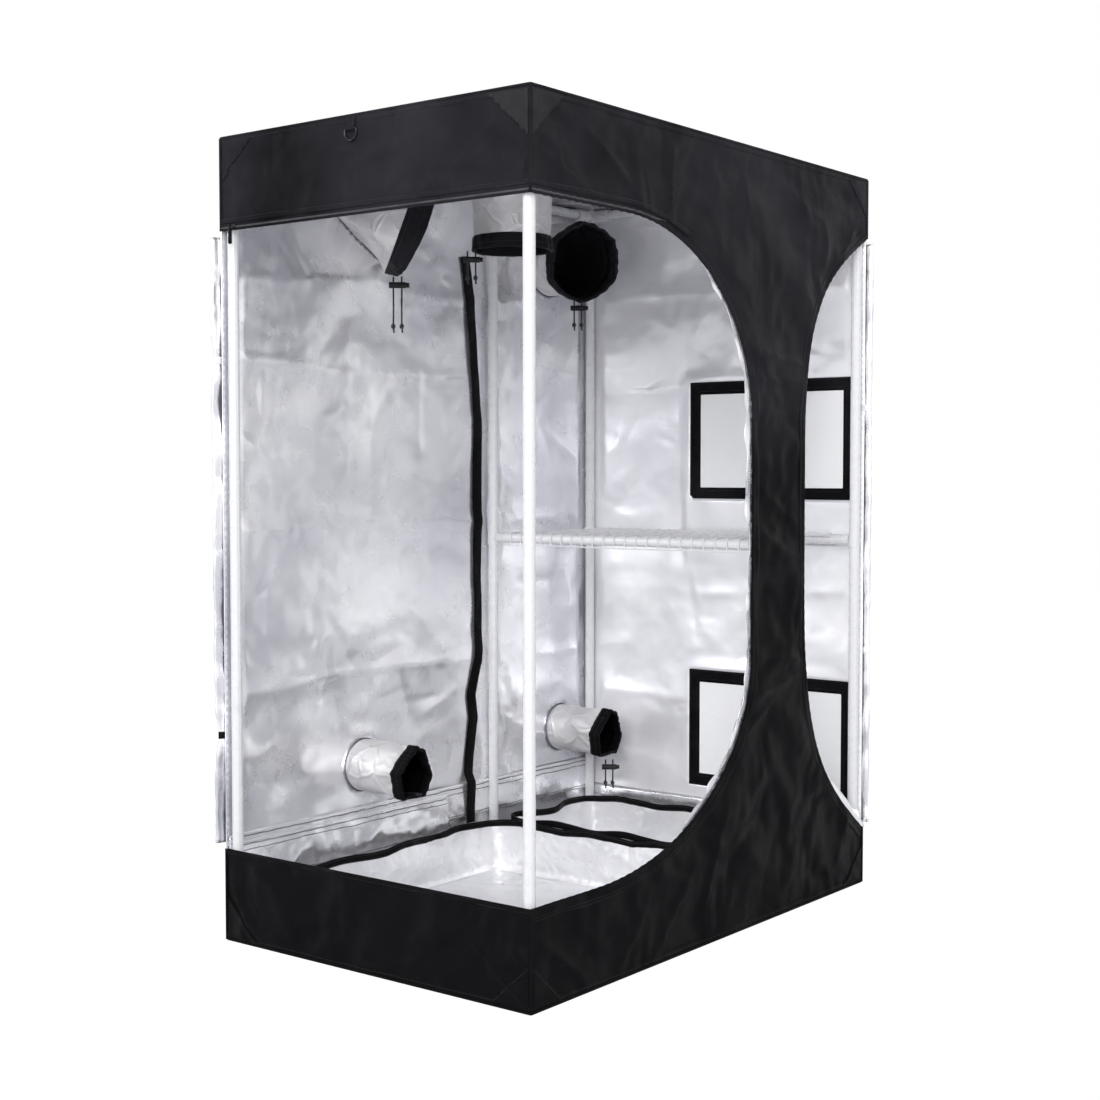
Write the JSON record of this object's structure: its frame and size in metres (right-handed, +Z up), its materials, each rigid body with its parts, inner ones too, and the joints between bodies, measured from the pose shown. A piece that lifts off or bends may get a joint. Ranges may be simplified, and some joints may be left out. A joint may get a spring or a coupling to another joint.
{
  "type": "indoor grow tent",
  "caption": "Upright cloth grow tent on a white pole frame, open left side, T-shaped front column, wire shelf, floor trays, duct sleeves and side vents.",
  "frame": {"origin": "centre of the footprint over the cloth, on the floor", "axes": "+Z up, along the height; +X towards the wall with the two vents, along the width; +Y towards the back wall with the ducts; the front with the black column faces -Y and the open side faces -X"},
  "size_m": [1.0586, 0.6886, 1.35],
  "materials": {
    "black_cloth": "black coated woven cloth, slight sheen",
    "silver_film": "creased reflective silver film on cloth",
    "white_paint": "white gloss powder coat",
    "white_plastic": "white moulded plastic",
    "white_net": "fine white net with a black bound border",
    "black_cord": "black braided cord",
    "black_plastic": "black moulded plastic",
    "plated_wire": "plated, dull"
  },
  "bodies": {
    "frame": {"base_front_left_corner": "white_plastic", "base_front_right_corner": "white_plastic", "base_front_tee": "white_plastic", "base_back_left_corner": "white_plastic", "base_back_right_corner": "white_plastic", "base_back_tee": "white_plastic", "top_front_left_corner": "white_plastic", "top_front_right_corner": "white_plastic", "top_front_tee": "white_plastic", "top_back_left_corner": "white_plastic", "top_back_right_corner": "white_plastic", "top_back_tee": "white_plastic", "front_left_post": "white_paint", "front_mid_post": "white_paint", "front_right_post": "white_paint", "back_left_post": "white_paint", "back_mid_post": "white_paint", "back_right_post": "white_paint", "base_front_rail": "white_paint", "base_back_rail": "white_paint", "base_left_rail": "white_paint", "base_right_rail": "white_paint", "top_front_rail": "white_paint", "top_back_rail": "white_paint", "top_left_rail": "white_paint", "top_right_rail": "white_paint", "shelf_left_rail": "white_paint", "shelf_right_rail": "white_paint", "roof_panel": "black_cloth", "front_panel": "black_cloth", "left_top_band": "black_cloth", "left_base_band": "black_cloth", "right_wall": "silver_film", "back_wall": "silver_film", "floor_panel": "silver_film", "lower_left_sleeve": "silver_film", "lower_right_sleeve": "silver_film", "upper_left_sleeve": "silver_film", "upper_right_sleeve": "silver_film", "roof_sleeve": "silver_film", "lower_vent_net": "white_net", "upper_vent_net": "white_net", "upper_left_drawcord": "black_cord", "lower_right_drawcord": "black_cord", "roof_drawcord": "black_cord"},
    "main_door": {"main_door_roll": "black_cloth"},
    "small_door": {"small_door_roll": "black_cloth"},
    "lower_flap": {"lower_vent_flap": "black_cloth"},
    "upper_flap": {"upper_vent_flap": "black_cloth"},
    "shelf": {"wire_shelf": "white_paint"},
    "left_liner": {"left_tray": "silver_film"},
    "right_liner": {"right_tray": "silver_film"},
    "slider": {"zip_slider": "plated_wire"},
    "pull": {"zip_pull": "plated_wire"},
    "hanging_ring": {"d_ring": "plated_wire"},
    "bar_1": {"hanging_bar_1": "white_paint"},
    "bar_2": {"hanging_bar_2": "white_paint"},
    "upper_left_lock": {"upper_left_cord_lock": "black_plastic"},
    "lower_right_lock": {"lower_right_cord_lock": "black_plastic"},
    "roof_lock": {"roof_cord_lock": "black_plastic"}
  },
  "joints": [
    {"name": "main_door_swing", "type": "hinge", "parent": "frame", "child": "main_door", "pos_m": [-0.5233, 0.3383, 0.676], "axis": [0, 0, 1], "range_deg": [0, 240]},
    {"name": "small_door_swing", "type": "hinge", "parent": "frame", "child": "small_door", "pos_m": [0.5213, -0.3363, 0.673], "axis": [0, 0, 1], "range_deg": [-240, 0]},
    {"name": "lower_flap_fold", "type": "hinge", "parent": "frame", "child": "lower_flap", "pos_m": [0.5159, -0.12, 0.146], "axis": [0, 1, 0], "range_deg": [0, 124]},
    {"name": "upper_flap_fold", "type": "hinge", "parent": "frame", "child": "upper_flap", "pos_m": [0.5159, -0.12, 0.736], "axis": [0, 1, 0], "range_deg": [0, 176]},
    {"name": "shelf_lift", "type": "slide", "parent": "frame", "child": "shelf", "axis": [0, 0, 1], "range_m": [0, 0.25]},
    {"name": "left_liner_lift", "type": "slide", "parent": "frame", "child": "left_liner", "axis": [0, 0, 1], "range_m": [0, 0.09]},
    {"name": "right_liner_lift", "type": "slide", "parent": "frame", "child": "right_liner", "axis": [0, 0, 1], "range_m": [0, 0.09]},
    {"name": "zip_run", "type": "slide", "parent": "frame", "child": "slider", "axis": [0, -1, 0], "range_m": [0, 0.58]},
    {"name": "pull_flip", "type": "hinge", "parent": "slider", "child": "pull", "pos_m": [-0.5233, 0.2985, 1.199], "axis": [0, 1, 0], "range_deg": [0, 110]},
    {"name": "hanging_ring_swing", "type": "hinge", "parent": "frame", "child": "hanging_ring", "pos_m": [-0.518, 0.025, 1.328], "axis": [0, 1, 0], "range_deg": [0, 170]},
    {"name": "bar_1_run", "type": "slide", "parent": "frame", "child": "bar_1", "axis": [1, 0, 0], "range_m": [-0.068, 0.1]},
    {"name": "bar_2_run", "type": "slide", "parent": "frame", "child": "bar_2", "axis": [1, 0, 0], "range_m": [-0.1, 0.05]},
    {"name": "upper_left_lock_run", "type": "slide", "parent": "frame", "child": "upper_left_lock", "axis": [0, 0, -1], "range_m": [0, 0.062]},
    {"name": "lower_right_lock_run", "type": "slide", "parent": "frame", "child": "lower_right_lock", "axis": [0, 0, -1], "range_m": [0, 0.022]},
    {"name": "roof_lock_run", "type": "slide", "parent": "frame", "child": "roof_lock", "axis": [0, 0, -1], "range_m": [0, 0.022]}
  ]
}
